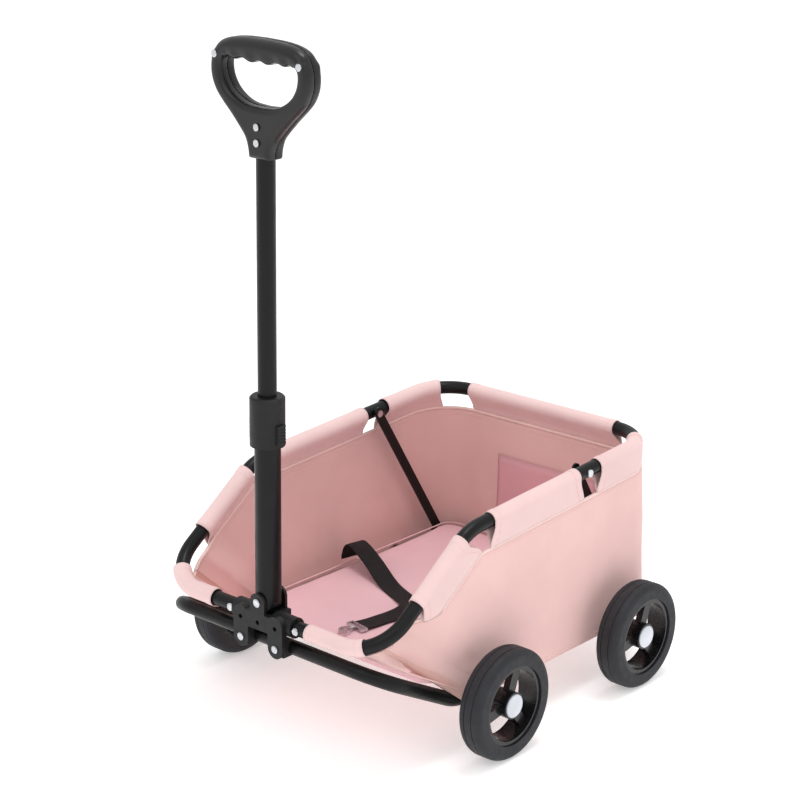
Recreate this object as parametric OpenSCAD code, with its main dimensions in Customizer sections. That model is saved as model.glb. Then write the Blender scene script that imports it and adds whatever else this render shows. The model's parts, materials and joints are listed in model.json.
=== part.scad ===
// Folding fabric wagon with a telescoping pull handle.
// Axes: +Z up, -Y towards the handle end, +X the right-hand side seen from the handle end.
// Origin: on the ground, under the centre of the whole wagon.

/* [Wheels] */
// Tyre diameter
wheel_d = 125; // [115:1:127]
// Tyre width
tyre_w = 30; // [26:1:32]
// Distance between the left and right tyre centres
track = 412; // [410:1:430]
// Distance between the front and rear axles
wheelbase = 241; // [200:1:250]
// Axle rod diameter
axle_d = 8; // [6:0.5:8]

/* [Frame] */
// Diameter of the bent frame tubes
tube_d = 16; // [14:0.5:16]
// Half the distance between the side tubes of the base loop
base_half_w = 161; // [158:0.5:161]
// Half the distance between the side tubes of the rim loop
rim_half_w = 162; // [162:0.5:164]
// Bend radius of the rim corners
rim_bend_r = 50; // [40:1:55]
// Bend radius of the base corners
base_bend_r = 40; // [30:1:50]

/* [Handle] */
// Diameter of the lower handle tube
lower_tube_d = 28; // [26:0.5:28]
// Diameter of the upper handle tube
upper_tube_d = 20; // [18:0.5:20]
// Diameter of the locking collar
collar_d = 37.6; // [36:0.2:40]
// Sideways lean of the handle in its hinge, degrees
pole_lean = 1.1; // [0:0.1:2]
// Height of the top of the grip
handle_h = 770; // [760:1:790]

/* [Tub] */
// Height of the top of the floor mat
mat_top = 94; // [90:1:96]
// Half the width of the floor mat
mat_half_w = 145; // [135:1:146]
// Fabric thickness
cloth = 1.6; // [1:0.1:2]

/* [Leash] */
// Width of the leash webbing
strap_w = 25; // [20:1:25]
// Thickness of the leash webbing
strap_t = 1.6; // [1:0.1:2]

/* [Hidden] */
$fn = 48;
front_y = -83.3;                       // front axle, ahead of the origin
rear_y = front_y + wheelbase;
axle_z = wheel_d / 2;
wheel_x = track / 2;
tube_r = tube_d / 2;
tube_wall = 1.2;
fit = 0.05;                            // radial clearance of running fits
gap = 0.3;                             // clearance between pieces that only lie together
swell = 0.03;                          // an elbow's wall is this much thicker on each face
lap = 0.5;                             // a straight tube runs this far into its elbow

// Base loop: a level rear part and a front part that rises to the front bar
base_z = 61;
base_rear_y = front_y + 325;
base_kink_y = front_y - 30;
base_bar_y = front_y - 149;
base_bar_z = 126;

// Rim loop: its front tube is the fold axis, its kink is the highest front point
rim_axis_y = front_y - 151;
rim_axis_z = 151;
rim_kink_y = front_y - 11;
rim_kink_z = 252;
rim_rear_y = front_y + 320;
rim_rear_z = 272;
slope_angle = atan2(rim_kink_z - rim_axis_z, rim_kink_y - rim_axis_y);
side_angle = atan2(rim_rear_z - rim_kink_z, rim_rear_y - rim_kink_y);
kink_bend_r = 60;
sleeve_r = tube_r + 1.6;
sleeve_in_r = tube_r + gap;

// Bracket that joins the rim, the base bar and the handle
lobe_x = 26;
lobe_r = 11;
barrel_in = 15;
barrel_out = 44;
barrel_r = 11.5;
plate_face_y = base_bar_y - 17.5;
plate_back_y = rim_axis_y - tube_r - 0.2;
hinge_z = 172;
lower_r = lower_tube_d / 2;
ear_front_y = base_bar_y - lower_r - gap;
ear_rear_y = base_bar_y + lower_r + gap;
ear_rear_t = 3.5;
ear_r = 10.5;
rivet_r = 2.5;
rivet_head_r = 4.4;
rivet_head_h = 1.8;
hinge_rivet_r = 3;
swing_r = 12.6;                        // round foot of the handle, about its hinge
rim_rivet_x = 49.5;

// Handle
lower_top_z = 395;
upper_foot_z = 366;
upper_top_z = 692;
collar_z0 = 347;
collar_z1 = 401;
upper_r = upper_tube_d / 2;
pole_wall = 1.3;
plug_top_z = 196;
button_z = 362;
button_w = 11;
button_h = 21;
button_x0 = 17;
button_x1 = 21.6;
grip_z0 = 650;
grip_w = 137;
grip_bar_h = 23;
grip_t = 26;
grip_leg = 15.5;
grip_neck_w = 29;
grip_mid_z = handle_h - 30;
grip_bowl_h = 60;
grip_opening_h = 38;
grip_edge = 4;
grip_screw_z = [666.8, 682.8, handle_h - 21, handle_h - 21];
grip_screw_x = [0, 0, -58.8, 58.8];

// Braces: hinged on ears of the base, hooked on studs of the rim
brace_x = 149.6;
brace_t = 2.5;
brace_w = 12;
foot_y = front_y + 301;
foot_z = 84;
stud_y = front_y + 190;
stud_z = rim_kink_z + (stud_y - rim_kink_y) * tan(side_angle);
brace_len = norm([stud_y - foot_y, stud_z - foot_z]);
brace_angle = atan2(stud_z - foot_z, stud_y - foot_y);
ear_x = brace_x + brace_t + gap;
brace_slot_angle = -4.3;               // way in which the stud leaves the hook
pin_head_t = 1.8;

// Tub
wall_x = 170.3;
wall_foot_z = 58;
bottom_z = base_z + tube_r + gap;
board_z = bottom_z + cloth + gap;
board_t = 4;
mat_z = board_z + board_t + gap;
rear_wall_y = front_y + 333.3;
panel_foot = [front_y - 22, 72];
panel_head = [front_y - 139, 140];

// Wheel
rim_r = 45;
rim_open_r = 40;
hub_r = 15;
cap_r = 13;
hub_half = 13;
spoke_w = 12;
spoke_angles = [20, 140, 260];

// Leash route along the middle of the webbing
strap_points = [
    [-144, 46.5, 96.5], [-143, 46.3, 105], [-139.5, 45.8, 113.5], [-132, 44.4, 118.6],
    [-120, 40.8, 117.6], [-106, 36, 114], [-92, 31, 109.6], [-77, 25, 104.6],
    [-62, 18.6, 99.6], [-48, 12.8, 96.3], [-36, 8, 95.2],
    [-20, 1.5, 95.2], [-5, -5, 95.8], [8, -12, 97.5], [15, -23, 98.5], [16, -36, 97.5],
    [13, -50, 95.8], [10, -64, 95.2], [8, -80, 95.6], [5.4, -94.8, 96.6]
];
hook_at = [5.4, -94.9, 96.6];
hook_turn = -100;

tube_black = [0.13, 0.13, 0.14];
plastic_black = [0.16, 0.16, 0.17];
rivet_silver = [0.8, 0.81, 0.83];
cloth_pink = [0.9, 0.76, 0.75];
mat_pink = [0.87, 0.72, 0.76];
tyre_black = [0.18, 0.18, 0.2];
cap_white = [0.88, 0.89, 0.95];

// ---------- helpers ----------

function unit(v) = v / norm(v);

// Places children at p with their own axes along x, y and z
module frame_at(p, x, y, z)
    multmatrix([for (i = [0 : 2]) [x[i], y[i], z[i], p[i]]]) children();

// Straight ring-section tube from a to b
module straight(a, b, r_out, r_in) {
    d = b - a;
    z = unit(d);
    x = abs(z[2]) > 0.9 ? unit(cross([0, 1, 0], z)) : unit(cross([0, 0, 1], z));
    y = cross(z, x);
    frame_at(a, x, y, z) linear_extrude(norm(d)) ring(r_out, r_in);
}

module ring(r_out, r_in) {
    difference() {
        circle(r_out);
        if (r_in > 0) circle(r_in);
    }
}

// Elbow at corner p between unit directions d1 and d2, from part "from" to part "to" of its turn
module elbow(p, d1, d2, bend_r, r_out, r_in, from = 0, to = 1) {
    turn = acos(d1 * d2);
    n = unit(d2 - (d1 * d2) * d1);
    c = p - d1 * bend_r * tan(turn / 2) + n * bend_r;
    frame_at(c, -n, d1, cross(-n, d1))
        rotate([0, 0, turn * from]) rotate_extrude(angle = turn * (to - from), $fn = 96)
            translate([bend_r, 0]) ring(r_out + swell, r_in > 0 ? r_in - swell : 0);
}

// Tube along points with a bend radius at each inner corner
module bent_tube(pts, bends, r_out, r_in) {
    last = len(pts) - 1;
    dirs = [for (i = [0 : last - 1]) unit(pts[i + 1] - pts[i])];
    cut = [for (i = [0 : last]) i == 0 || i == last ? 0 : bends[i] * tan(acos(dirs[i - 1] * dirs[i]) / 2)];
    laps = [for (i = [0 : last]) i == 0 || i == last ? 0 : lap];
    for (i = [0 : last - 1]) straight(pts[i] + dirs[i] * (cut[i] - laps[i]),
        pts[i + 1] - dirs[i] * (cut[i + 1] - laps[i + 1]), r_out, r_in);
    for (i = [1 : last - 1]) elbow(pts[i], dirs[i - 1], dirs[i], bends[i], r_out, r_in);
}

module at(x, y, z) translate([x, y, z]) children();

// Round bar along X, from x0 to x1
module bar_x(x0, x1, y, z, r) at(x0, y, z) rotate([0, 90, 0]) cylinder(h = x1 - x0, r = r);

// Round bar along Y, from y0 to y1
module bar_y(y0, y1, x, z, r) at(x, y0, z) rotate([-90, 0, 0]) cylinder(h = y1 - y0, r = r);

// Low domed rivet head on a face, growing along +Z
module rivet_head(r, h) {
    cylinder(h = h * 0.6, r = r);
    at(0, 0, h * 0.6) cylinder(h = h * 0.4, r1 = r, r2 = r * 0.75);
}

// Both sides of the wagon
module both_sides() {
    children();
    mirror([1, 0, 0]) children();
}

// Outline in the YZ plane, extruded along +X from x
module side_plate(x, t) at(x, 0, 0) rotate([90, 0, 90]) linear_extrude(t) children();

// ---------- base ----------

base_points = [[0.5, base_rear_y, base_z], [base_half_w, base_rear_y, base_z],
    [base_half_w, base_kink_y, base_z], [base_half_w, base_bar_y, base_bar_z],
    [-base_half_w, base_bar_y, base_bar_z], [-base_half_w, base_kink_y, base_z],
    [-base_half_w, base_rear_y, base_z], [-0.5, base_rear_y, base_z]];
base_bends = [0, base_bend_r, kink_bend_r, base_bend_r, base_bend_r, kink_bend_r, base_bend_r, 0];

module brace_ear() {
    difference() {
        union() {
            at(ear_x, foot_y - 8, base_z) cube([2, 16, foot_z - base_z]);
            bar_x(ear_x, ear_x + 2, foot_y, foot_z, 7);
        }
        bar_x(ear_x - 1, ear_x + 3, foot_y, foot_z, rivet_r + fit);
    }
}

module base_frame() color(tube_black) difference() {
    union() {
        bent_tube(base_points, base_bends, tube_r, tube_r - tube_wall);
        both_sides() difference() {
            brace_ear();
            straight([base_half_w, foot_y - 20, base_z], [base_half_w, foot_y + 20, base_z], tube_r - 0.4, 0);
        }
    }
    for (y = [front_y, rear_y]) bar_x(-base_half_w - 10, base_half_w + 10, y, axle_z, axle_d / 2 + fit);
    for (s = [-1, 1]) bar_y(base_bar_y - 10, base_bar_y + 10, s * lobe_x, base_bar_z, rivet_r + fit);
}

module base_joiner() color(tube_black)
    straight([-30, base_rear_y, base_z], [30, base_rear_y, base_z],
        tube_r - tube_wall - fit, tube_r - 2.4);

module lobe(x) {
    bar_y(plate_face_y, plate_back_y, x, base_bar_z, lobe_r);
    at(x - lobe_r, plate_face_y, base_bar_z) cube([2 * lobe_r, plate_back_y - plate_face_y, 26]);
    at(x - lobe_r, plate_face_y + 2, base_bar_z - tube_r)
        cube([2 * lobe_r, base_bar_y - plate_face_y - 2, 2 * tube_r]);
    bar_y(plate_face_y, plate_back_y, x, base_bar_z + 26, lobe_r);
}

module front_bracket() color(plastic_black) difference() {
    union() {
        for (s = [-1, 1]) lobe(s * lobe_x);
        at(-lobe_x, plate_face_y, rim_axis_z - 10) cube([2 * lobe_x, plate_back_y - plate_face_y, 19]);
        for (s = [-1, 1]) bar_x(s > 0 ? barrel_in : -barrel_out, s > 0 ? barrel_out : -barrel_in,
            rim_axis_y, rim_axis_z, barrel_r);
        at(-barrel_in - 1, rim_axis_y, rim_axis_z - barrel_r)
            cube([2 * barrel_in + 2, ear_rear_y + ear_rear_t - rim_axis_y, barrel_r + 8]);
        at(-ear_r, plate_face_y, rim_axis_z)
            cube([2 * ear_r, ear_front_y - plate_face_y, hinge_z - rim_axis_z]);
        bar_y(plate_face_y, ear_front_y, 0, hinge_z, ear_r);
        at(-ear_r, ear_rear_y, rim_axis_z) cube([2 * ear_r, ear_rear_t, hinge_z - rim_axis_z]);
        bar_y(ear_rear_y, ear_rear_y + ear_rear_t, 0, hinge_z, ear_r);
    }
    bar_x(-barrel_out - 1, barrel_out + 1, rim_axis_y, rim_axis_z, tube_r + fit);
    bar_x(-barrel_out - 1, barrel_out + 1, base_bar_y, base_bar_z, tube_r + fit);
    bar_y(ear_front_y, ear_rear_y, 0, hinge_z, swing_r + 0.7);
    for (s = [-1, 1]) bar_y(plate_face_y - 1, base_bar_y, s * lobe_x, base_bar_z, rivet_r + fit);
    for (x = [-lobe_x, 0, lobe_x]) bar_y(plate_face_y - 1, plate_face_y + 4, x, rim_axis_z - 1.5, 2.6);
    bar_y(plate_face_y - 1, ear_rear_y + 10, 0, hinge_z, hinge_rivet_r + fit);
}

// Rivet along Y with a domed head outside each of the faces y0 and y1
module rivet_y(y0, y1, x, z, r, head_r) {
    bar_y(y0 - 0.5, y1 + 0.5, x, z, r);
    at(x, y0 - fit, z) rotate([90, 0, 0]) rivet_head(head_r, rivet_head_h);
    at(x, y1 + fit, z) rotate([-90, 0, 0]) rivet_head(head_r, rivet_head_h);
}

module bracket_rivets() color(rivet_silver) for (s = [-1, 1])
    rivet_y(plate_face_y, base_bar_y + tube_r, s * lobe_x, base_bar_z, rivet_r, rivet_head_r);

module pole_hinge_rivet() color(rivet_silver)
    rivet_y(plate_face_y, ear_rear_y + ear_rear_t, 0, hinge_z, hinge_rivet_r, rivet_head_r + 0.4);

axle_end = wheel_x + hub_half - 2.5;

module front_axle() color(rivet_silver) bar_x(-axle_end, axle_end, front_y, axle_z, axle_d / 2);

module rear_axle() color(rivet_silver) bar_x(-axle_end, axle_end, rear_y, axle_z, axle_d / 2);

module axle_ring(x0, x1, y, r_out) difference() {
    bar_x(x0, x1, y, axle_z, r_out);
    bar_x(x0 - 1, x1 + 1, y, axle_z, axle_d / 2 + fit);
}

spacer_x0 = base_half_w + tube_r + fit;
spacer_x1 = wheel_x - hub_half - 0.2;

module axle_spacers() color(plastic_black) both_sides()
    for (y = [front_y, rear_y]) axle_ring(spacer_x0, spacer_x1, y, 7.5);

module axle_clips() color(rivet_silver) both_sides()
    for (y = [front_y, rear_y]) axle_ring(axle_end - 2.6, axle_end - 1.4, y, 7);

module brace_pins() color(rivet_silver) both_sides() {
    bar_x(brace_x - 0.5, ear_x + 2.5, foot_y, foot_z, rivet_r);
    bar_x(ear_x + 2 + fit, ear_x + 2 + pin_head_t, foot_y, foot_z, rivet_head_r);
    bar_x(brace_x - 0.2 - pin_head_t, brace_x - 0.2, foot_y, foot_z, rivet_head_r);
}

// ---------- rim ----------

rim_points = [[0.5, rim_axis_y, rim_axis_z], [rim_half_w, rim_axis_y, rim_axis_z],
    [rim_half_w, rim_kink_y, rim_kink_z], [rim_half_w, rim_rear_y, rim_rear_z],
    [-rim_half_w, rim_rear_y, rim_rear_z], [-rim_half_w, rim_kink_y, rim_kink_z],
    [-rim_half_w, rim_axis_y, rim_axis_z], [-0.5, rim_axis_y, rim_axis_z]];
rim_bends = [0, rim_bend_r, kink_bend_r, rim_bend_r, rim_bend_r, kink_bend_r, rim_bend_r, 0];
slope_dir = unit([0, rim_kink_y - rim_axis_y, rim_kink_z - rim_axis_z]);
side_dir = unit([0, rim_rear_y - rim_kink_y, rim_rear_z - rim_kink_z]);

function on_slope(y) = [rim_half_w, y, rim_axis_z + (y - rim_axis_y) * tan(slope_angle)];
function on_side(y) = [rim_half_w, y, rim_kink_z + (y - rim_kink_y) * tan(side_angle)];

module rim_tube() color(tube_black) difference() {
    bent_tube(rim_points, rim_bends, tube_r, tube_r - tube_wall);
    for (s = [-1, 1]) bar_y(rim_axis_y - 10, rim_axis_y + 10, s * rim_rivet_x, rim_axis_z, rivet_r + fit);
    bar_x(-rim_half_w - 10, rim_half_w + 10, stud_y, stud_z, rivet_r + fit);
}

module rim_joiner() color(tube_black) difference() {
    straight([-58, rim_axis_y, rim_axis_z], [58, rim_axis_y, rim_axis_z],
        tube_r - tube_wall - fit, tube_r - 2.4);
    for (s = [-1, 1]) bar_y(rim_axis_y - 10, rim_axis_y + 10, s * rim_rivet_x, rim_axis_z, rivet_r + fit);
}

module rim_rivets() color(rivet_silver) for (s = [-1, 1])
    rivet_y(rim_axis_y - tube_r, rim_axis_y + tube_r, s * rim_rivet_x, rim_axis_z, rivet_r, rivet_head_r);

module brace_studs() color(rivet_silver) both_sides() {
    bar_x(brace_x - 0.5, rim_half_w + tube_r + 0.3, stud_y, stud_z, rivet_r);
    bar_x(rim_half_w + tube_r + fit, rim_half_w + tube_r + pin_head_t, stud_y, stud_z, rivet_head_r);
    bar_x(brace_x - 0.3 - pin_head_t, brace_x - 0.3, stud_y, stud_z, rivet_head_r);
}

// Stretch of sleeve cloth round the rim tube
module sleeve_run(a, b) straight(a, b, sleeve_r, sleeve_in_r);

module sleeve_turn(p, d1, d2, part) elbow(p, d1, d2, rim_bend_r, sleeve_r, sleeve_in_r, 0, part);

module sleeve_front(start_x, turn_part) {
    sleeve_run([start_x, rim_axis_y, rim_axis_z], [rim_half_w - rim_bend_r + lap, rim_axis_y, rim_axis_z]);
    sleeve_turn([rim_half_w, rim_axis_y, rim_axis_z], [1, 0, 0], slope_dir, turn_part);
}

module sleeve_corner() {
    sleeve_run(on_side(front_y + 211), on_side(rim_rear_y - (rim_bend_r - lap) * cos(side_angle)));
    sleeve_turn([rim_half_w, rim_rear_y, rim_rear_z], side_dir, [-1, 0, 0], 0.45);
}

module sleeve_front_left() color(cloth_pink) mirror([1, 0, 0]) sleeve_front(79, 0.55);
module sleeve_front_right() color(cloth_pink) sleeve_front(62, 0.34);
module sleeve_slope() sleeve_run(on_slope(front_y - 98), on_slope(front_y - 29));
module sleeve_side() sleeve_run(on_side(front_y + 23), on_side(front_y + 173));
module sleeve_slope_left() color(cloth_pink) mirror([1, 0, 0]) sleeve_slope();
module sleeve_slope_right() color(cloth_pink) sleeve_slope();
module sleeve_side_left() color(cloth_pink) mirror([1, 0, 0]) sleeve_side();
module sleeve_side_right() color(cloth_pink) sleeve_side();
module sleeve_corner_left() color(cloth_pink) mirror([1, 0, 0]) sleeve_corner();
module sleeve_corner_right() color(cloth_pink) sleeve_corner();
module sleeve_back() color(cloth_pink)
    sleeve_run([-111, rim_rear_y, rim_rear_z], [111, rim_rear_y, rim_rear_z]);

// ---------- braces ----------

module brace_bar() difference() {
    at(brace_x, foot_y, foot_z) rotate([brace_angle, 0, 0]) difference() {
        union() {
            at(0, 0, -brace_w / 2) cube([brace_t, brace_len + 2, brace_w]);
            bar_x(0, brace_t, 0, 0, brace_w / 2);
            bar_x(0, brace_t, brace_len + 2, 0, brace_w / 2);
        }
        bar_x(-1, brace_t + 1, 0, 0, rivet_r + fit);
    }
    bar_x(brace_x - 1, brace_x + brace_t + 1, stud_y, stud_z, rivet_r + gap);
    at(brace_x - 1, stud_y, stud_z) rotate([brace_slot_angle, 0, 0])
        at(0, 0, -rivet_r - gap) cube([brace_t + 2, 20, 2 * (rivet_r + gap)]);
}

module brace_left() color(tube_black) mirror([1, 0, 0]) brace_bar();
module brace_right() color(tube_black) brace_bar();

// ---------- handle ----------

// Leans the handle about its hinge; its own axis stays on x = 0 inside
module leaning() at(0, base_bar_y, hinge_z) rotate([0, pole_lean, 0]) at(0, 0, -hinge_z) children();

module foot_shape(z1) {
    bar_y(-20, 20, 0, hinge_z, swing_r);
    at(-20, -20, hinge_z) cube([40, 40, z1 - hinge_z]);
}

module lower_pole_tube() color(tube_black) leaning() difference() {
    intersection() {
        at(0, 0, 150) linear_extrude(lower_top_z - 150) ring(lower_r, lower_r - pole_wall);
        foot_shape(lower_top_z + 1);
    }
    bar_y(-20, 20, 0, hinge_z, hinge_rivet_r + fit);
}

module pole_plug() color(plastic_black) leaning() difference() {
    intersection() {
        at(0, 0, 150) cylinder(h = plug_top_z - 150, r = lower_r - pole_wall - fit);
        foot_shape(plug_top_z + 1);
    }
    bar_y(-20, 20, 0, hinge_z, hinge_rivet_r + fit);
}

module pole_collar() color(plastic_black) leaning() difference() {
    union() {
        at(0, 0, collar_z0) cylinder(h = collar_z1 - collar_z0 - 2, r = collar_d / 2);
        at(0, 0, collar_z1 - 2) cylinder(h = 2, r1 = collar_d / 2, r2 = collar_d / 2 - 2, $fn = 64);
    }
    at(0, 0, collar_z0 - 1) cylinder(h = lower_top_z - collar_z0 + 1.2, r = lower_r + fit);
    at(0, 0, lower_top_z - 1) cylinder(h = 20, r = upper_r + fit);
    at(-collar_d, -button_w / 2 - 0.2, button_z - button_h / 2 - 0.2)
        cube([2 * collar_d, button_w + 0.4, button_h + 0.4]);
}

module button_springs() color(rivet_silver) leaning() for (s = [-1, 1])
    at(s * (lower_r + 0.25) - 0.15, -2.5, button_z - 8) cube([0.3, 5, 16]);

module upper_pole_tube() color(tube_black) leaning() difference() {
    at(0, 0, upper_foot_z) linear_extrude(upper_top_z - upper_foot_z) ring(upper_r, upper_r - tube_wall);
    for (i = [0, 1]) bar_y(-20, 20, 0, grip_screw_z[i], 2.1);
}

module slide_bush() color(plastic_black) leaning()
    at(0, 0, upper_foot_z + 1) linear_extrude(24) ring(lower_r - pole_wall - 0.08, upper_r + fit);

// Lower half of an ellipse of half width w and depth h
module lower_bowl(w, h) intersection() {
    scale([1, h / w]) circle(w, $fn = 64);
    at(-w, -w, 0) square([2 * w, w]);
}

// Outer outline of the D-shaped grip in the XZ plane
module grip_outline() offset(r = -22) offset(r = 22) {
    hull() {
        for (s = [-1, 1]) {
            at(s * (grip_w / 2 - 24.5), handle_h - 24.5, 0) circle(22, $fn = 32);
            at(s * 30, handle_h - 26, 0) circle(26, $fn = 32);
        }
        at(0, grip_mid_z, 0) lower_bowl(grip_w / 2, grip_bowl_h);
    }
    at(-grip_neck_w / 2, grip_z0, 0) square([grip_neck_w, 40]);
}

module grip_opening() hull() {
    w = grip_w / 2 - grip_leg;
    for (s = [-1, 1]) at(s * (w - 9), handle_h - grip_bar_h - 9, 0) circle(9, $fn = 32);
    at(0, grip_mid_z, 0) lower_bowl(w, grip_opening_h);
}

module grip_loop() difference() {
    grip_outline();
    grip_opening();
}

// Half of the grip, from y = 0 to y = t, thinner at its edge
module grip_half(t) difference() {
    mirror([0, 1, 0]) rotate([90, 0, 0]) {
        linear_extrude(t - grip_edge) grip_loop();
        linear_extrude(t) offset(delta = -grip_edge) grip_loop();
    }
    at(0, 0, grip_z0 - 1) cylinder(h = upper_top_z - grip_z0 + 1.5, r = upper_r + fit);
    for (i = [0 : 3]) bar_y(-30, 30, grip_screw_x[i], grip_screw_z[i], 2.1);
}

module grip_front() color(plastic_black) leaning() mirror([0, 1, 0]) grip_half(grip_t / 2);
module grip_rear() color(plastic_black) leaning() at(0, 0.05, 0) grip_half(grip_t / 2);

module grip_screws() color(rivet_silver) leaning() for (i = [0 : 3]) {
    bar_y(-grip_t / 2 - 0.5, grip_t / 2 - 3, grip_screw_x[i], grip_screw_z[i], 2);
    at(grip_screw_x[i], -grip_t / 2 - fit, grip_screw_z[i]) rotate([90, 0, 0]) rivet_head(3.8, 1.4);
}

module button_block(s) color(plastic_black) leaning() difference() {
    at(s > 0 ? button_x0 : -button_x1, -button_w / 2, button_z - button_h / 2)
        cube([button_x1 - button_x0, button_w, button_h]);
    for (i = [-2 : 2]) at(s * button_x1 - 0.5, -button_w, button_z + i * 3.4 - 0.5)
        cube([1, 2 * button_w, 1]);
}

module button_left() button_block(-1);
module button_right() button_block(1);

// ---------- tub ----------

wall_outline = [[front_y - 20, wall_foot_z], [front_y + 329.5, wall_foot_z], [front_y + 327, 262],
    [front_y - 6, 241.5], [front_y - 104, 171.5], [front_y - 114, 153]];

module side_wall() difference() {
    side_plate(wall_x, cloth) polygon(wall_outline);
    for (y = [front_y, rear_y]) at(wall_x - 1, y - 9, 0) cube([cloth + 2, 18, axle_z + 9]);
}

module left_wall() color(cloth_pink) mirror([1, 0, 0]) side_wall();
module right_wall() color(cloth_pink) side_wall();

module rear_wall() color(cloth_pink) side_plate(-wall_x + 0.4, 2 * wall_x - 0.8)
    polygon([[rear_wall_y, wall_foot_z], [rear_wall_y + cloth, wall_foot_z],
        [rear_wall_y + cloth - 2.5, 261], [rear_wall_y - 2.5, 261]]);

module front_panel() color(cloth_pink) intersection() {
    side_plate(-168, 336) polygon([panel_foot, panel_head, panel_head + [0, 1.8], panel_foot + [0, 1.8]]);
    linear_extrude(200) polygon([[-168, panel_foot[0] + 5], [168, panel_foot[0] + 5],
        [168, panel_head[0] + 27], [124, panel_head[0]], [46.5, panel_head[0]],
        [46.5, panel_head[0] + 9.5], [-46.5, panel_head[0] + 9.5], [-46.5, panel_head[0]],
        [-124, panel_head[0]], [-168, panel_head[0] + 27]]);
}

module tub_bottom() color(cloth_pink) difference() {
    at(-168.5, front_y - 18, bottom_z) cube([337, 346, cloth]);
    both_sides() at(ear_x - 1, foot_y - 9, bottom_z - 1) cube([6, 18, 4]);
}

module floor_board() color([0.3, 0.28, 0.28]) at(-148, front_y - 14, board_z) cube([296, 326, board_t]);

module floor_mat() color(mat_pink) side_plate(-mat_half_w, 2 * mat_half_w)
    polygon([[front_y - 22, mat_z], [front_y + 313, mat_z], [front_y + 316, mat_z + 5],
        [front_y + 316, mat_top - 5], [front_y + 312, mat_top], [front_y - 52, mat_top],
        [front_y - 53, mat_top - 1.2]]);

// ---------- leash ----------

// Sideways direction of the flat webbing: level, across its run
function strap_along(i) = let(n = len(strap_points) - 1)
    unit(strap_points[min(i + 1, n)] - strap_points[max(i - 1, 0)]);
function strap_side(i) = let(t = strap_along(i)) unit([t[1], -t[0], 0]);
function strap_ring(i) = let(t = strap_along(i), s = strap_side(i), n = cross(s, t), p = strap_points[i],
    w = strap_w / 2, h = strap_t / 2, k = strap_w / 2 - 2)
    [p + s * w, p + s * k + n * h, p - s * k + n * h, p - s * w, p - s * k - n * h, p + s * k - n * h];

module leash_strap() color(tube_black) {
    rings = len(strap_points);
    points = [for (i = [0 : rings - 1]) each strap_ring(i)];
    sides = [for (i = [0 : rings - 2], j = [0 : 5]) let(a = i * 6 + j, b = i * 6 + (j + 1) % 6)
        each [[a, b, b + 6], [a, b + 6, a + 6]]];
    polyhedron(points, concat([[5, 4, 3, 2, 1, 0]], sides,
        [[for (j = [0 : 5]) (rings - 1) * 6 + j]]), convexity = 4);
}

// Places children at the end of the leash, +X along the hook
module at_hook() translate(hook_at) rotate([0, 0, hook_turn]) children();

module snap_hook() color(rivet_silver) at_hook() {
    difference() {
        at(0, -14, -1.5) cube([9, 28, 3]);
        at(2.2, -11.5, -2) cube([4.4, 23, 4]);
    }
    at(9, 0, 0) rotate([0, 90, 0]) cylinder(h = 5, r = 2.5);
    difference() {
        union() {
            at(21, 0, -1.5) cylinder(h = 3, r = 8);
            at(13.5, -4, -1.5) cube([6, 8, 3]);
        }
        at(21, 0, -2) cylinder(h = 4, r = 5);
        at(17, 3.4, -2) cube([8.4, 8, 4]);
        at(10, 4, -2) cube([8, 8, 4]);
    }
}

module hook_gate() color(rivet_silver) at_hook() at(17.4, 4.3, -1.1) cube([7.6, 2.2, 2.2]);

// ---------- wheels ----------

module tyre_section() difference() {
    union() {
        at(rim_r, -tyre_w / 2, 0) square([axle_z - rim_r - 8, tyre_w]);
        at(rim_r, -tyre_w / 2 + 8, 0) square([axle_z - rim_r, tyre_w - 16]);
        for (s = [-1, 1]) at(axle_z - 8, s * (tyre_w / 2 - 8), 0) circle(8);
    }
    for (s = [-1, 1]) at(axle_z - 0.6, s * 5 - 0.5, 0) square([1, 1]);
}

module tyre(x, y) color(tyre_black)
    at(x, y, axle_z) rotate([0, 90, 0]) rotate_extrude($fn = 128) tyre_section();

module wheel(s, y) color(plastic_black) at(s * wheel_x, y, axle_z) rotate([0, s * 90, 0]) difference() {
    union() {
        at(0, 0, -hub_half) difference() {
            cylinder(h = 2 * hub_half, r = rim_r - 0.02, $fn = 96);
            at(0, 0, -1) cylinder(h = 2 * hub_half + 2, r = rim_open_r, $fn = 96);
        }
        at(0, 0, -hub_half) cylinder(h = 2 * hub_half, r = hub_r);
        for (a = spoke_angles) rotate([0, 0, 180 - s * a])
            at(hub_r - 2, -spoke_w / 2, -2) cube([rim_open_r - hub_r + 3, spoke_w, 8]);
    }
    at(0, 0, -hub_half - 1) cylinder(h = 2 * hub_half + 2, r = axle_d / 2 + fit);
    at(0, 0, hub_half - 6) cylinder(h = 10, r = 8);
}

module hub_cap(s, y) color(cap_white) at(s * (wheel_x + hub_half + fit), y, axle_z) rotate([0, s * 90, 0]) {
    cylinder(h = 1.2, r = cap_r);
    at(0, 0, 1.2) cylinder(h = 0.7, r1 = cap_r, r2 = cap_r - 0.8);
}

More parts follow.
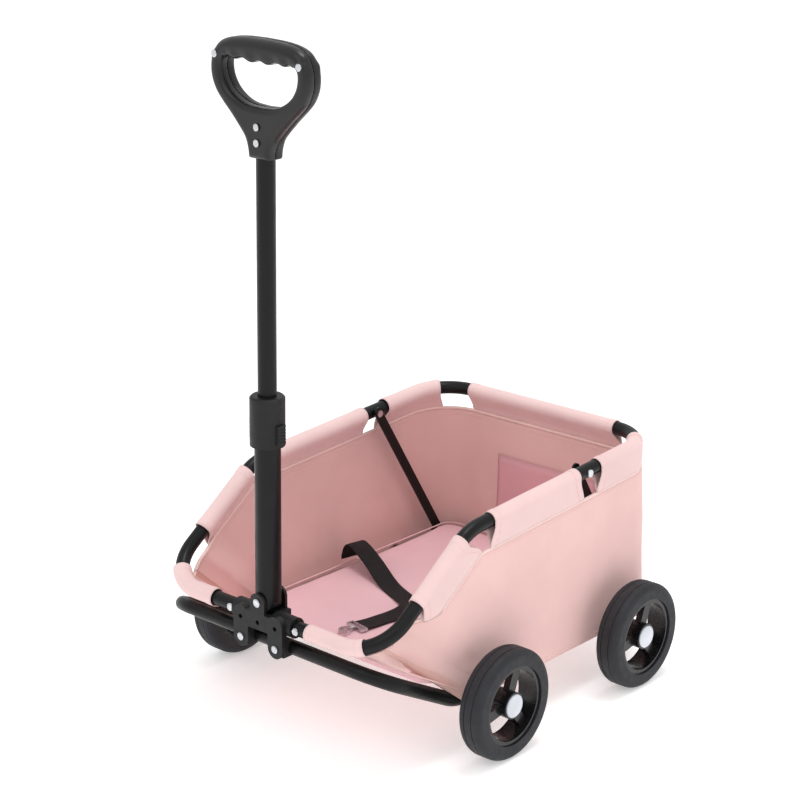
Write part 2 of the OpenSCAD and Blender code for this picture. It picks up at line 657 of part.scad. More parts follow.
base_frame();
base_joiner();
front_bracket();
bracket_rivets();
pole_hinge_rivet();
front_axle();
rear_axle();
axle_spacers();
axle_clips();
brace_pins();
tub_bottom();
floor_board();
floor_mat();
left_wall();
right_wall();
front_panel();
rear_wall();
leash_strap();
snap_hook();
hook_gate();
rim_tube();
rim_joiner();
rim_rivets();
brace_studs();
sleeve_front_left();
sleeve_front_right();
sleeve_slope_left();
sleeve_slope_right();
sleeve_side_left();
sleeve_side_right();
sleeve_corner_left();
sleeve_corner_right();
sleeve_back();
brace_left();
brace_right();
lower_pole_tube();
pole_plug();
pole_collar();
button_springs();
upper_pole_tube();
slide_bush();
grip_front();
grip_rear();
grip_screws();
button_left();
button_right();
tyre(-wheel_x, front_y);  // tyre_front_left
tyre(wheel_x, front_y);  // tyre_front_right
tyre(-wheel_x, rear_y);  // tyre_rear_left
tyre(wheel_x, rear_y);  // tyre_rear_right
wheel(-1, front_y);  // wheel_front_left
wheel(1, front_y);  // wheel_front_right
wheel(-1, rear_y);  // wheel_rear_left
wheel(1, rear_y);  // wheel_rear_right
hub_cap(-1, front_y);  // hub_cap_front_left
hub_cap(1, front_y);  // hub_cap_front_right
hub_cap(-1, rear_y);  // hub_cap_rear_left
hub_cap(1, rear_y);  // hub_cap_rear_right
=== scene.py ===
"""Looks of the wagon with a pull handle: sewn tub, sleeves, mat, leash, grip and all materials."""
import json
import math

import bmesh
import bpy
import numpy as np
from mathutils import Matrix, Vector, noise


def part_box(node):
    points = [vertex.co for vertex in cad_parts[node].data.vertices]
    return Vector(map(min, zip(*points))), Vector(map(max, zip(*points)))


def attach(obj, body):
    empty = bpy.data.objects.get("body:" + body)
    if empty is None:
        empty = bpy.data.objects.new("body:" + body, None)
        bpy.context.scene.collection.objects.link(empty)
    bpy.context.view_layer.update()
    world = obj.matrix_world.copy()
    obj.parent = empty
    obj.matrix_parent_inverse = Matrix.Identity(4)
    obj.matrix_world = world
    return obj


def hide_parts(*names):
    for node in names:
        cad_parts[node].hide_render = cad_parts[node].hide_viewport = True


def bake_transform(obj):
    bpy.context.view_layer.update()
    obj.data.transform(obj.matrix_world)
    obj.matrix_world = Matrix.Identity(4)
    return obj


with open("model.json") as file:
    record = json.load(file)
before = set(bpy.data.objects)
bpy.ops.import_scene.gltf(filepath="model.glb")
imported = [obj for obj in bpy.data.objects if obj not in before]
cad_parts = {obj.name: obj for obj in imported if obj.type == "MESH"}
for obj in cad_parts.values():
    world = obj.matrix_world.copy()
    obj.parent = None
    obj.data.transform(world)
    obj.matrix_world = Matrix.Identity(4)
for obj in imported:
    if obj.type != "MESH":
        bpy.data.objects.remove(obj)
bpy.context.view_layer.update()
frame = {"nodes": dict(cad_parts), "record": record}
NODES = frame["nodes"]
FY = -0.0833  # the front axle, from which the lengths along the wagon count
FOCAL_PX, PICTURE_PX = 2076, 800  # the photo's focal length and width
SENSOR_MM = 36


def Y(mm):
    """Place along the wagon, in metres, of a length in mm behind the front axle."""
    return mm / 1000 + FY


# ---------- camera ----------

def look_from():
    """The camera of the photo."""
    cam = bpy.data.objects.new("camera", bpy.data.cameras.new("camera"))
    bpy.context.scene.collection.objects.link(cam)
    right = Vector((0.7437, 0.6685, 0)).normalized()
    ahead = Vector((-0.6364, 0.7080, -0.3062)).normalized()
    up = right.cross(ahead).normalized()
    cam.matrix_world = Matrix((
        (right.x, up.x, -ahead.x, 1.4745),
        (right.y, up.y, -ahead.y, -1.6624),
        (right.z, up.z, -ahead.z, 1.0540),
        (0, 0, 0, 1)))
    cam.data.sensor_width = SENSOR_MM
    cam.data.lens = FOCAL_PX * SENSOR_MM / PICTURE_PX
    cam.data.clip_start, cam.data.clip_end = 0.05, 60
    bpy.context.scene.camera = cam


look_from()

# ---------- node materials ----------

RIB, WEFT = 0.0013, 0.0011  # pitch of the webbing's ribs and of its threads


class Nodes:
    """A material under construction; each call adds one node and returns it."""

    def __init__(self, name, **shader):
        self.mat = bpy.data.materials.new(name)
        self.mat.use_nodes = True
        self.tree = self.mat.node_tree
        self.bsdf = self.tree.nodes["Principled BSDF"]
        for key, value in shader.items():
            self.bsdf.inputs[key.replace("_", " ")].default_value = value

    def add(self, kind, **values):
        node = self.tree.nodes.new("ShaderNode" + kind)
        for key, value in values.items():
            if hasattr(node, key):
                setattr(node, key, value)
            else:
                node.inputs[key.replace("_", " ")].default_value = value
        return node

    def link(self, out, into):
        self.tree.links.new(out, into)

    def noise(self, coords, scale, detail=3, roughness=0.5):
        node = self.add("TexNoise", Scale=scale, Detail=detail, Roughness=roughness)
        self.link(coords, node.inputs["Vector"])
        return node.outputs["Fac"]

    def ramp(self, fac, stops):
        node = self.add("ValToRGB")
        ramp = node.color_ramp
        for i, (pos, colour) in enumerate(stops):
            stop = ramp.elements[i] if i < 2 else ramp.elements.new(pos)
            stop.position = pos
            stop.color = (*colour, 1) if len(colour) == 3 else colour
        self.link(fac, node.inputs["Fac"])
        return node.outputs["Color"]

    def math(self, kind, a, b):
        node = self.add("Math", operation=kind)
        for i, value in enumerate((a, b)):
            if isinstance(value, (int, float)):
                node.inputs[i].default_value = value
            else:
                self.link(value, node.inputs[i])
        return node.outputs[0]

    def bump(self, height, strength, distance, before=None):
        node = self.add("Bump", Strength=strength, Distance=distance)
        self.link(height, node.inputs["Height"])
        if before is not None:
            self.link(before, node.inputs["Normal"])
        return node.outputs["Normal"]


def srgb(r, g, b):
    """Linear colour of a screen colour."""
    return tuple((c / 255 / 12.92) if c / 255 <= 0.04045 else ((c / 255 + 0.055) / 1.055) ** 2.4
                 for c in (r, g, b))


def shade(colour, k):
    """The colour made lighter or darker by k."""
    return tuple(min(1, c * k) for c in colour)


def cloth_material(name, colour, thread=0.0009, sheen=0.1, depth=1.0, patchy=0.06):
    """Plain woven cloth: crossing threads from the UV map, which is in metres, and soft unevenness of the dye."""
    n = Nodes(name, Roughness=0.82, Sheen_Weight=sheen, Sheen_Roughness=0.45, Specular_IOR_Level=0.25)
    n.bsdf.inputs["Sheen Tint"].default_value = (1, 0.93, 0.93, 1)
    uv = n.add("TexCoord").outputs["UV"]
    place = n.add("TexCoord").outputs["Object"]
    split = n.add("SeparateXYZ")
    n.link(uv, split.inputs[0])
    waves = []
    for axis, other in ((0, 1), (1, 0)):
        step = n.math("MULTIPLY", split.outputs[axis], 2 * math.pi / thread)
        wave = n.math("SINE", step, 0)
        over = n.math("MULTIPLY", split.outputs[other], math.pi / thread)
        lift = n.math("SINE", over, 0)
        waves.append(n.math("MULTIPLY", wave, n.math("ABSOLUTE", lift, 0)))
    weave = n.math("ADD", n.math("MAXIMUM", *waves), 0)
    broad = n.noise(place, 9, 4, 0.55)
    slub = n.noise(place, 420, 2, 0.6)
    n.link(n.ramp(broad, [(0.25, shade(colour, 1 - patchy)), (0.75, shade(colour, 1 + patchy))]),
           n.bsdf.inputs["Base Color"])
    n.link(n.ramp(slub, [(0.3, (0.74,) * 3), (0.7, (0.9,) * 3)]), n.bsdf.inputs["Roughness"])
    rough = n.bump(n.noise(place, 46, 3, 0.6), 0.22 * depth, 0.0012)
    n.link(n.bump(weave, 0.35, 0.00012, n.bump(slub, 0.3, 0.0002, rough)), n.bsdf.inputs["Normal"])
    return n.mat


def coated_metal(name, colour, roughness=0.36):
    """Powder-coated tube: a faint orange-peel skin and small changes of gloss."""
    n = Nodes(name, Roughness=roughness, Coat_Weight=0.04, Coat_Roughness=0.22, Specular_IOR_Level=0.22)
    place = n.add("TexCoord").outputs["Object"]
    n.link(n.ramp(n.noise(place, 14, 3), [(0.3, shade(colour, 0.85)), (0.7, shade(colour, 1.25))]),
           n.bsdf.inputs["Base Color"])
    n.link(n.ramp(n.noise(place, 60, 3), [(0.3, (roughness - 0.05,) * 3), (0.7, (roughness + 0.09,) * 3)]),
           n.bsdf.inputs["Roughness"])
    n.link(n.bump(n.noise(place, 900, 2), 0.16, 0.0002), n.bsdf.inputs["Normal"])
    return n.mat


def moulded(name, colour, roughness=0.46, grain=1600, depth=0.2, coat=0.0):
    """Moulded plastic or rubber with a spark-eroded grain."""
    n = Nodes(name, Roughness=roughness, Coat_Weight=coat * 0.5, Coat_Roughness=0.15, Specular_IOR_Level=0.32)
    place = n.add("TexCoord").outputs["Object"]
    n.link(n.ramp(n.noise(place, 22, 3), [(0.3, shade(colour, 0.88)), (0.7, shade(colour, 1.15))]),
           n.bsdf.inputs["Base Color"])
    n.link(n.ramp(n.noise(place, 130, 3), [(0.3, (roughness - 0.06,) * 3), (0.7, (roughness + 0.08,) * 3)]),
           n.bsdf.inputs["Roughness"])
    n.link(n.bump(n.noise(place, grain, 2), depth, 0.00018), n.bsdf.inputs["Normal"])
    return n.mat


def zinc(name):
    """Plated steel with small changes of tone and gloss."""
    n = Nodes(name, Metallic=1.0, Roughness=0.3)
    place = n.add("TexCoord").outputs["Object"]
    n.link(n.ramp(n.noise(place, 150, 4), [(0.3, (0.46, 0.47, 0.5)), (0.7, (0.68, 0.69, 0.72))]),
           n.bsdf.inputs["Base Color"])
    n.link(n.ramp(n.noise(place, 700, 3), [(0.3, (0.18,) * 3), (0.7, (0.36,) * 3)]),
           n.bsdf.inputs["Roughness"])
    n.link(n.bump(n.noise(place, 500, 3), 0.1, 0.0001), n.bsdf.inputs["Normal"])
    return n.mat


def webbing_material(name, colour):
    """Ribbed black webbing: cross ribs and fine threads, from a UV map in metres."""
    n = Nodes(name, Roughness=0.62, Sheen_Weight=0.04, Sheen_Roughness=0.4, Specular_IOR_Level=0.2)
    uv = n.add("TexCoord").outputs["UV"]
    split = n.add("SeparateXYZ")
    n.link(uv, split.inputs[0])
    ribs = n.math("SINE", n.math("MULTIPLY", split.outputs[1], 2 * math.pi / RIB), 0)
    ends = n.math("SINE", n.math("MULTIPLY", split.outputs[0], 2 * math.pi / WEFT), 0)
    place = n.add("TexCoord").outputs["Object"]
    n.link(n.ramp(n.noise(place, 90, 3), [(0.3, shade(colour, 0.8)), (0.7, shade(colour, 1.5))]),
           n.bsdf.inputs["Base Color"])
    both = n.math("ADD", ribs, n.math("MULTIPLY", ends, 0.5))
    n.link(n.bump(both, 0.5, 0.00022), n.bsdf.inputs["Normal"])
    return n.mat


M = {
    "wall": cloth_material("wall_cloth", srgb(233, 194, 190)),
    "binding": cloth_material("binding_cloth", srgb(222, 182, 173), sheen=0.05),
    "sleeve": cloth_material("sleeve_cloth", srgb(232, 201, 199), sheen=0.15),
    "mat": cloth_material("mat_cloth", srgb(228, 186, 192), depth=0.8),
    # painted shade: a darker pink for the patch inside the rear wall, standing for less light coming through the cloth
    # there
    "painted_shade_patch": cloth_material("painted_shade_cloth", srgb(224, 172, 178), patchy=0.1),
    "piping": cloth_material("piping_cloth", srgb(243, 212, 206), thread=0.0007),
    "thread": moulded("thread", srgb(238, 200, 196), 0.6),
    "tube": coated_metal("tube_black", srgb(10, 10, 11)),
    "moulded": moulded("moulded_black", srgb(20, 20, 22), 0.5),
    "grip": moulded("grip_black", srgb(24, 24, 26), 0.34, grain=2200, depth=0.1, coat=0.2),
    "tyre": moulded("tyre", srgb(38, 39, 43), 0.6, grain=1100, depth=0.35),
    "wheel": moulded("wheel_plastic", srgb(18, 18, 20), 0.26, depth=0.06, coat=0.4),
    "cap": moulded("hub_cap", srgb(205, 208, 216), 0.36, depth=0.05, coat=0.3),
    "steel": zinc("bare_steel"),
    "webbing": webbing_material("webbing", srgb(20, 17, 19)),
    "webbing_thread": moulded("webbing_thread", srgb(52, 48, 50), 0.6),
    "board": moulded("board", srgb(70, 64, 64), 0.6),
}

SLOT_LOOK = {"tube_black": "tube", "moulded_black": "moulded", "bare_steel": "steel",
             "tub_cloth": "wall", "mat_cloth": "mat", "webbing": "webbing", "board": "board",
             "tyre": "tyre", "wheel_plastic": "wheel", "hub_cap": "cap"}


def dress_cad():
    """Gives every CAD node the look of its material slot."""
    for sub in frame["record"]["subparts"]:
        look = M[SLOT_LOOK[sub["material_slot"]]]
        slots = NODES[sub["node"]].material_slots
        for s in slots:
            s.material = look
        if not slots:
            NODES[sub["node"]].data.materials.append(look)


dress_cad()

# ---------- mesh helpers ----------

def put_uvs(data, uvs):
    """A UV map with one value for each vertex."""
    layer = data.uv_layers.new(name="UVMap")
    loops = np.empty(len(data.loops), int)
    data.loops.foreach_get("vertex_index", loops)
    layer.data.foreach_set("uv", np.asarray(uvs, float)[loops].ravel())


def mesh_object(name, points, faces, look, uvs=None):
    """Smooth-shaded object from points and faces, with one UV for each point."""
    data = bpy.data.meshes.new(name)
    data.from_pydata([tuple(p) for p in points], [], [tuple(f) for f in faces])
    if uvs is not None:
        put_uvs(data, uvs)
    data.materials.append(look)
    data.shade_smooth()
    obj = bpy.data.objects.new(name, data)
    bpy.context.scene.collection.objects.link(obj)
    return obj


def grid_object(name, grid, look, uv, closed=False, capped=False):
    """Object from a grid of points [rows][columns]; closed joins last column to first, capped fills the ends."""
    grid = np.asarray(grid, float)
    rows, cols = grid.shape[:2]
    faces = []
    for i in range(rows - 1):
        for j in range(cols if closed else cols - 1):
            k = (j + 1) % cols
            faces.append((i * cols + j, i * cols + k, (i + 1) * cols + k, (i + 1) * cols + j))
    if capped:
        faces += [tuple(range(cols - 1, -1, -1)), tuple(range((rows - 1) * cols, rows * cols))]
    return mesh_object(name, grid.reshape(-1, 3), faces, look, np.asarray(uv).reshape(-1, 2))


def bake(obj):
    """Turns the modifiers of obj into mesh."""
    bpy.context.view_layer.update()
    done = bpy.data.meshes.new_from_object(obj.evaluated_get(bpy.context.evaluated_depsgraph_get()))
    obj.modifiers.clear()
    obj.data = done
    return obj


def thicken(obj, thickness, offset=-1):
    """Gives a sheet its thickness."""
    m = obj.modifiers.new("cloth", "SOLIDIFY")
    m.thickness, m.offset, m.use_even_offset = thickness, offset, False
    return bake(obj)


def unit(v):
    v = np.asarray(v, float)
    return v / np.maximum(np.linalg.norm(v, axis=-1, keepdims=True), 1e-12)


def lengths(path):
    """Length along path at each of its points."""
    return np.concatenate([[0], np.cumsum(np.linalg.norm(np.diff(path, axis=0), axis=1))])


def resample(path, step):
    """The same path with points about step apart."""
    s = lengths(path)
    t = np.linspace(0, s[-1], max(2, int(round(s[-1] / step)) + 1))
    return np.stack([np.interp(t, s, path[:, k]) for k in range(3)], 1)


def rod(name, path, radius, look, sides=10, end=True):
    """A round cord along path, with rounded ends."""
    path = np.asarray(path, float)
    t = unit(np.gradient(path, axis=0))
    ref = np.array([0, 0, 1.0])
    a = unit(np.cross(t, ref + 1e-4))
    b = np.cross(t, a)
    scale = np.ones(len(path))
    if end:
        scale[0] = scale[-1] = 0.45
    ang = np.linspace(0, 2 * math.pi, sides, endpoint=False)
    ring = (a[:, None] * np.cos(ang)[None, :, None] + b[:, None] * np.sin(ang)[None, :, None])
    grid = path[:, None] + ring * radius * scale[:, None, None]
    s = lengths(path)
    uv = np.stack(np.broadcast_arrays(ang[None, :] * radius, s[:, None]), -1)
    return grid_object(name, grid, look, uv, closed=True, capped=end)


def stitches(name, path, up, look, pitch=0.0040, length=0.0029, radius=0.00042, lift=0.0001):
    """A row of small sewn stitches along path, standing on the surface whose normals are up."""
    path, up = np.asarray(path, float), np.asarray(up, float)
    s = lengths(path)
    at = np.arange(pitch * 0.7, s[-1] - pitch * 0.5, pitch)
    if len(at) < 1:
        return None
    mid = np.stack([np.interp(at, s, path[:, k]) for k in range(3)], 1)
    fwd = np.stack([np.interp(at + 0.0005, s, path[:, k]) for k in range(3)], 1) - mid
    n = unit(np.stack([np.interp(at, s, up[:, k]) for k in range(3)], 1))
    t = unit(fwd)
    t = unit(t - n * (t * n).sum(1, keepdims=True))
    b = np.cross(t, n)
    shape, faces = [], []
    around = 6
    for z, r in ((-0.5, 0.25), (-0.42, 0.8), (0, 1), (0.42, 0.8), (0.5, 0.25)):
        for k in range(around):
            a = 2 * math.pi * k / around
            shape.append((z * length, r * radius * math.cos(a), r * radius * math.sin(a) - abs(z) * radius))
    for i in range(4):
        for k in range(around):
            q = (k + 1) % around
            faces.append((i * around + k, i * around + q, (i + 1) * around + q, (i + 1) * around + k))
    shape = np.array(shape)
    pts = (mid[:, None] + t[:, None] * shape[None, :, :1] + b[:, None] * shape[None, :, 1:2]
           + n[:, None] * (shape[None, :, 2:3] + lift)).reshape(-1, 3)
    every = [tuple(v + i * len(shape) for v in f) for i in range(len(at)) for f in faces]
    return mesh_object(name, pts, every, look, np.zeros((len(pts), 2)))

# ---------- rim line ----------

RIM_X = 0.162  # half the rim's width, to the tube's middle
RIM_FRONT, RIM_REAR = (Y(-151), 0.151), (Y(320), 0.272)
RIM = [((0, *RIM_FRONT), 0), ((RIM_X, *RIM_FRONT), 0.05), ((RIM_X, Y(-11), 0.252), 0.06),
       ((RIM_X, *RIM_REAR), 0.05), ((0, *RIM_REAR), 0)]


def rounded(corners, step=0.001):
    """Points along a line with rounded corners, and the lengths at which each corner starts and ends."""
    pts, marks = [np.array(corners[0][0])], []
    for i in range(1, len(corners) - 1):
        p, r = np.array(corners[i][0]), corners[i][1]
        d1 = unit(p - np.array(corners[i - 1][0]))
        d2 = unit(np.array(corners[i + 1][0]) - p)
        turn = math.acos(float(np.clip(d1 @ d2, -1, 1)))
        reach = r * math.tan(turn / 2)
        a = p - d1 * reach
        inward = unit(d2 - d1)
        centre = p + inward * (r / math.cos(turn / 2))
        n = unit(a - centre)
        pts.append(a)
        start = lengths(np.array(pts))[-1]
        for k in range(1, 41):
            w = turn * k / 40
            pts.append(centre + r * (n * math.cos(w) + d1 * math.sin(w)))
        marks.append((start, lengths(np.array(pts))[-1]))
    pts.append(np.array(corners[-1][0]))
    return resample(np.array(pts), step), marks


RIM_LINE, RIM_MARKS = rounded(RIM)
(C1A, C1B), (C2A, C2B), (C3A, C3B) = RIM_MARKS
RIM_END = lengths(RIM_LINE)[-1]


def smooth(t):
    """Rises from 0 to 1 without a kink as t does."""
    t = np.clip(t, 0, 1)
    return t * t * (3 - 2 * t)


def on_line(line, s):
    """Points at the lengths s along line."""
    cum = lengths(line)
    return np.stack([np.interp(s, cum, line[:, k]) for k in range(3)], -1)


def rim_frame(s):
    """Centre, way along, way out and way down of the rim tube at the lengths s from its front middle."""
    s = np.asarray(s, float)
    c = on_line(RIM_LINE, s)
    t = unit(on_line(RIM_LINE, np.minimum(s + 0.002, RIM_END)) - on_line(RIM_LINE, np.maximum(s - 0.002, 0)))
    out = np.stack([t[..., 1], -t[..., 0], np.zeros_like(t[..., 0])], -1)
    out = unit(out)
    down = np.cross(t, out)
    down = np.where(down[..., 2:3] > 0, -down, down)
    return c, t, out, down


SEAM_OUT, SEAM_DOWN = 0.0091, 0.029  # the seam's place from the rim line along the sides
FRONT_OUT, FRONT_DOWN = -0.0112, 0.0125  # and along the front


def seam_offset(s):
    """How far out and down of the rim line the sleeves are sewn to the tub."""
    w = smooth((s - (C1B - 0.008)) / 0.05)
    return FRONT_OUT * (1 - w) + SEAM_OUT * w, FRONT_DOWN * (1 - w) + SEAM_DOWN * w


def seam_point(s):
    """Points of the seam at the lengths s of the rim."""
    c, _, out, down = rim_frame(s)
    o, d = seam_offset(np.asarray(s, float))
    return c + out * o[..., None] + down * d[..., None]


def s_at_y(y, lo, hi):
    """Length along the rim, between lo and hi, at which it is at y."""
    s = np.linspace(lo, hi, 400)
    return float(np.interp(y, on_line(RIM_LINE, s)[:, 1], s))


def mirror(points):
    """The same points on the other side of the wagon."""
    points = np.array(points, float)
    points[..., 0] *= -1
    return points


# ---------- sleeves ----------

SLEEVE_R, SLEEVE_T = 0.0090, 0.0009  # the cloth's radius round the tube and its thickness
HEM, HEM_RISE, HEM_FALL = 0.009, 0.00045, 0.0008
BACK_HALF = 0.111  # half the length of the back sleeve


def teardrop(r, o, d, arc=30, side=9):
    """Section of cloth round a tube of radius r, drawn together at the seam (o out, d down)."""
    reach = math.hypot(o, d)
    way = math.atan2(-d, o)
    half = math.acos(r / reach)
    around = np.linspace(way + half, way - half + 2 * math.pi, arc)
    ring = np.stack([r * np.cos(around), r * np.sin(around)], 1)
    tip = np.array([o, -d])
    back = [ring[-1] + (tip - ring[-1]) * k / side for k in range(1, side + 1)]
    forth = [tip + (ring[0] - tip) * k / side for k in range(1, side)]
    return np.concatenate([ring, back, forth])


def girths(section):
    """Length round a closed section at each of its points."""
    return lengths(np.concatenate([np.c_[section, np.zeros(len(section))], [[*section[0], 0]]]))[:-1]


def flap_share(section):
    """How much each point of a section belongs to the flat flap between the tube and the seam."""
    return smooth((-section[:, 1] - 0.006) / 0.012) * (1 - smooth((-section[:, 1] - 0.026) / 0.004))


def finish_sleeve(obj, node, grid, rows):
    """Sews a row of stitches round the sleeve at each of the two grid rows, then hangs the sleeve and its stitches on
    the rim and hides the CAD node.
    """
    parts = []
    stem = node if node == "sleeve_back" else obj.name
    for i, at in enumerate(rows):
        shown = resample(np.concatenate([grid[at], grid[at][:1]]), 0.0008)
        parts.append(stitches(f"{stem}_stitch_{i}", shown, unit(shown - grid[at].mean(0)), M["thread"]))
    for p in [obj, *parts]:
        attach(p, "rim")
    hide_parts(node)


def sleeve(node, s0, s1, left, slant, seed):
    """One sewn sleeve of the rim from length s0 to s1, with folded hems; slant leads its flap past the ends."""
    length = s1 - s0
    along = np.unique(np.concatenate([np.linspace(0, 1, max(16, int(length / 0.0035))),
                                      [HEM / length, (HEM + HEM_FALL) / length,
                                       1 - HEM / length, 1 - (HEM + HEM_FALL) / length]]))
    rows, uvs = [], []
    for f in along:
        s = s0 + f * length
        near = min(f, 1 - f) * length
        extra = HEM_RISE * (1 - smooth((near - HEM) / HEM_FALL))
        o, d = seam_offset(np.array([s]))
        sec = teardrop(SLEEVE_R + extra, float(o[0]), float(d[0]))
        low = smooth((-sec[:, 1] - 0.004) / 0.024) if d[0] > 0.02 else np.zeros(len(sec))
        at = s + low * (slant[1] * smooth((f - 0.5) * 2) - slant[0] * smooth((0.5 - f) * 2))
        c, _, out, down = rim_frame(np.clip(at, 0, RIM_END))
        wave = np.array([noise.noise(Vector((a * 26 + seed, p[0] * 60, p[1] * 60))) for a, p in zip(at, sec)])
        fold = np.array([noise.noise(Vector((a * 90 + seed * 3, p[1] * 20, 4))) for a, p in zip(at, sec)])
        flap = flap_share(sec)
        k = (1 + (wave * 0.018 + fold * 0.012 * flap + 0.006))[:, None]
        inner = (np.where(sec[:, 0] < 0.004, 1.0, 0.0) * flap * 0.0009)[:, None]
        rows.append(c + out * (sec[:, :1] * k + inner) - down * (sec[:, 1:] * np.where(sec[:, 1:] > -0.02, k, 1)))
        uvs.append(np.stack([girths(sec), np.full(len(sec), s)], 1))
    grid, uvs = np.array(rows), np.array(uvs)
    if left:
        grid = mirror(grid)[:, ::-1]
        uvs = uvs[:, ::-1]
    obj = grid_object(node + "_cloth", grid, M["sleeve"], uvs, closed=True)
    if not left:
        obj.data.flip_normals()
    thicken(obj, SLEEVE_T)
    first = int(np.searchsorted(along, HEM * 0.82 / length))
    finish_sleeve(obj, node, grid, (first, len(along) - 1 - first))


SLEEVES = [
    ("front_right", 0.062, C1A + 0.34 * (C1B - C1A), False, (0, 0)),
    ("front_left", 0.079, C1A + 0.55 * (C1B - C1A), True, (0, 0)),
    ("slope", s_at_y(Y(-93.5), C1B, C2A), s_at_y(Y(-22.5), C1B, C2B), None, (0.006, 0.019)),
    ("side", s_at_y(Y(23), C2B, C3A), s_at_y(Y(173), C2B, C3A), None, (0.009, 0.005)),
    ("corner", s_at_y(Y(211), C2B, C3A), C3A + 0.45 * (C3B - C3A), None, (0.009, 0.004)),
]
for i, (part, s0, s1, left, slant) in enumerate(SLEEVES):
    for is_left in ((left,) if left is not None else (False, True)):
        full = part if left is not None else part + ("_left" if is_left else "_right")
        sleeve("sleeve_" + full, s0, s1, is_left, slant, seed=i * 7 + is_left * 3)


def back_sleeve():
    """The long sleeve over the rear bar; it is made in the middle, so it takes both halves of the rim."""
    line = np.linspace(-BACK_HALF, BACK_HALF, 66)
    line = np.unique(np.concatenate([line, [-0.1025, -0.1017, 0.1017, 0.1025]]))
    rear_y, rear_z = RIM_REAR
    rows, uvs = [], []
    for x in line:
        near = BACK_HALF - abs(x)
        extra = HEM_RISE * (1 - smooth((near - HEM) / HEM_FALL))
        sec = teardrop(SLEEVE_R + extra, SEAM_OUT, SEAM_DOWN)
        low = smooth((-sec[:, 1] - 0.004) / 0.024)
        at = x + low * 0.004 * math.copysign(smooth(abs(x) / BACK_HALF * 2 - 1), x)
        wave = np.array([noise.noise(Vector((a * 26, p[0] * 60, p[1] * 60 + 9))) for a, p in zip(at, sec)])
        k = 1.006 + 0.02 * wave
        sag = np.where(sec[:, 0] < 0.004, 1.0, 0.0) * flap_share(sec) * 0.0012
        high = sec[:, 1] * np.where(sec[:, 1] > -0.02, k, 1)
        rows.append(np.stack([at, rear_y + sec[:, 0] * k + sag, rear_z + high], 1))
        uvs.append(np.stack([girths(sec), np.full(len(sec), x)], 1))
    grid = np.array(rows)
    obj = grid_object("sleeve_back_cloth", grid, M["sleeve"], np.array(uvs), closed=True)
    thicken(obj, SLEEVE_T)
    finish_sleeve(obj, "sleeve_back", grid, (3, len(line) - 4))


back_sleeve()

# ---------- tub walls ----------

FOOT_Z, FOOT_X, FOOT_REAR, FOOT_R = 0.058, 0.1708, Y(332.4), 0.047  # the wall's foot round the base tube
CLOTH_T, PATCH_T = 0.0012, 0.0007  # thickness of the tub's cloth and of what is sewn on it
FOLLOW_HEIGHT = 0.088  # FOLLOW_HEIGHT = 0.088 # above the foot by this much, a front corner's share reaches 1
ROWS, CHUNK = 30, 4000  # rows of the wall's grid; vertices handled at a time
S_FIRST = s_at_y(Y(-139), C1A, C2A)


def wall_side(n_side=96, n_arc=18, n_back=24):
    """Top and foot lines of the right half of the tub's wall, from its front seam to the middle of the back."""
    top_s = np.concatenate([np.linspace(S_FIRST, C3A, n_side, endpoint=False),
                            np.linspace(C3A, C3B, n_arc, endpoint=False),
                            np.linspace(C3B, RIM_END, n_back)])
    top = seam_point(top_s)
    f = np.linspace(0, 1, n_side, endpoint=False)
    y = Y(-20) + f * (FOOT_REAR - FOOT_R - Y(-20))
    notch = sum(0.014 * np.exp(-((y - a) / 0.011) ** 2) for a in (Y(0), Y(241)))
    foot = [np.stack([np.full(n_side, FOOT_X), y, FOOT_Z + notch], 1)]
    a = np.linspace(0, math.pi / 2, n_arc, endpoint=False)
    foot.append(np.stack([FOOT_X - FOOT_R + FOOT_R * np.cos(a), FOOT_REAR - FOOT_R + FOOT_R * np.sin(a),
                          np.full(n_arc, FOOT_Z)], 1))
    x = np.linspace(FOOT_X - FOOT_R, 0, n_back)
    foot.append(np.stack([x, np.full(n_back, FOOT_REAR), np.full(n_back, FOOT_Z)], 1))
    return top, np.concatenate(foot)


TOP_R, FOOT_LINE_R = wall_side()
TOP = np.concatenate([TOP_R, mirror(TOP_R[:-1])[::-1]])
FOOT = np.concatenate([FOOT_LINE_R, mirror(FOOT_LINE_R[:-1])[::-1]])


def wall_grid():
    """The wall's surface with its slack, drag lines and creases, its way out, and its lengths and heights."""
    v = np.linspace(0, 1, ROWS)
    grid = FOOT[None] + (TOP - FOOT)[None] * v[:, None, None]
    along = unit(np.gradient(grid, axis=1))
    out = unit(np.cross(along, np.array([0, 0, 1.0])[None, None]))
    centre = np.array([0, Y(150), 0.15])
    flip = np.sign(((grid - centre) * out).sum(-1, keepdims=True))
    out = out * np.where(flip == 0, 1, flip)
    s = lengths(FOOT)
    shift = np.zeros(grid.shape[:2])
    for i in range(grid.shape[0]):
        for j in range(grid.shape[1]):
            slack = math.sin(math.pi * v[i]) ** 0.8
            u = s[j]
            broad = noise.noise(Vector((u * 7.5, v[i] * 1.6, 1.3)))
            drag = noise.noise(Vector((u * 24 + v[i] * 2.2, v[i] * 1.1, 6.1)))
            crease = noise.noise(Vector((u * 60 + v[i] * 5.0, v[i] * 2.5, 9.7)))
            pull = abs(noise.noise(Vector((u * 38 - v[i] * 3.0, v[i] * 0.8, 2.2))))
            shift[i, j] = slack * (0.0012 + 0.0022 * broad + 0.0011 * drag + 0.0004 * crease - 0.0010 * pull)
    return grid + out * shift[..., None], out, s, v


WALL, WALL_OUT, WALL_S, WALL_V = wall_grid()


def follow_wall(obj, share=None):
    """Bakes the transform of obj into its mesh; given no share, works out each vertex's share of the height from the
    foot to the rim's top edge, which is then not used.
    """
    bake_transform(obj)
    if share is None:
        co = np.array([v.co for v in obj.data.vertices], float)
        share = np.empty(len(co))
        for k in range(0, len(co), CHUNK):
            part = co[k:k + CHUNK]
            j = ((part[:, None, :2] - TOP[None, :, :2]) ** 2).sum(-1).argmin(1)
            share[k:k + CHUNK] = (part[:, 2] - FOOT_Z) / (TOP[j, 2] - FOOT_Z)


